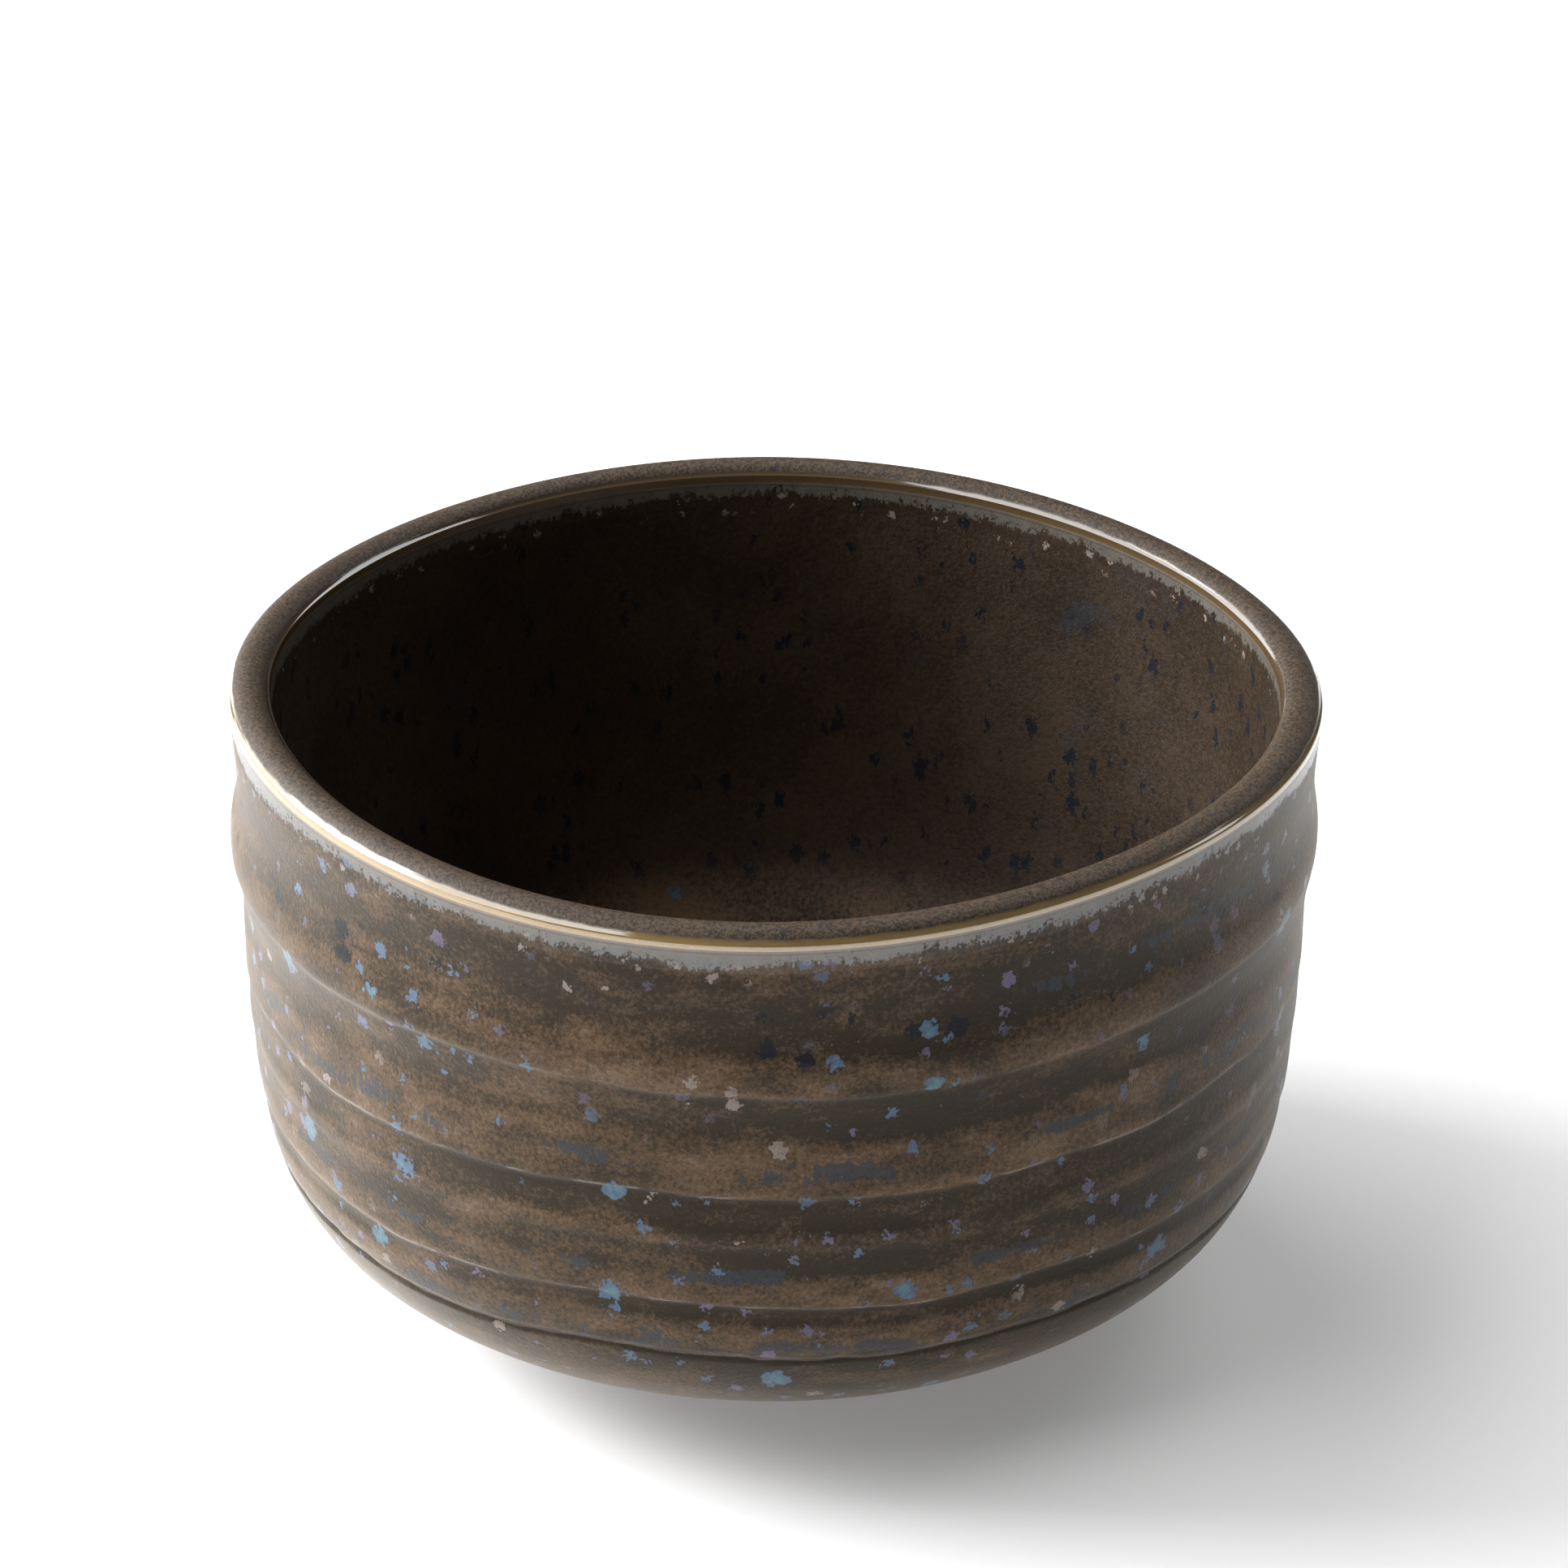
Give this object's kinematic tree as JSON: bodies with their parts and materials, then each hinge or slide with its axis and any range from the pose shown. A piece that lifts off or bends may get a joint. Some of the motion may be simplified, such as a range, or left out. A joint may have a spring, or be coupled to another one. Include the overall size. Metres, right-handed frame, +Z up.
{
  "type": "matcha bowl",
  "caption": "Round thrown stoneware tea bowl with nearly upright walls, a soft rolled lip, a dark crystalline glaze, an amber coat over the lip and a low bare foot ring.",
  "frame": {"origin": "under the middle of the bowl's widest outline, on the plane that the foot ring stands on", "axes": "+Z up out of the mouth; +X to the right and -Y towards the viewer when the lip's higher side is on the left"},
  "size_m": [0.1202, 0.1202, 0.0748],
  "materials": {
    "bare_clay": "matte",
    "foot_clay": "matte",
    "outer_glaze": "satin",
    "rim_glaze": "gloss",
    "inner_glaze": "satin",
    "foot_well_glaze": "satin"
  },
  "bodies": {
    "root": {"clay_body": "bare_clay", "foot_ring": "foot_clay", "outer_glaze": "outer_glaze", "rim_glaze": "rim_glaze", "inner_glaze": "inner_glaze", "foot_well_glaze": "foot_well_glaze"}
  },
  "joints": []
}
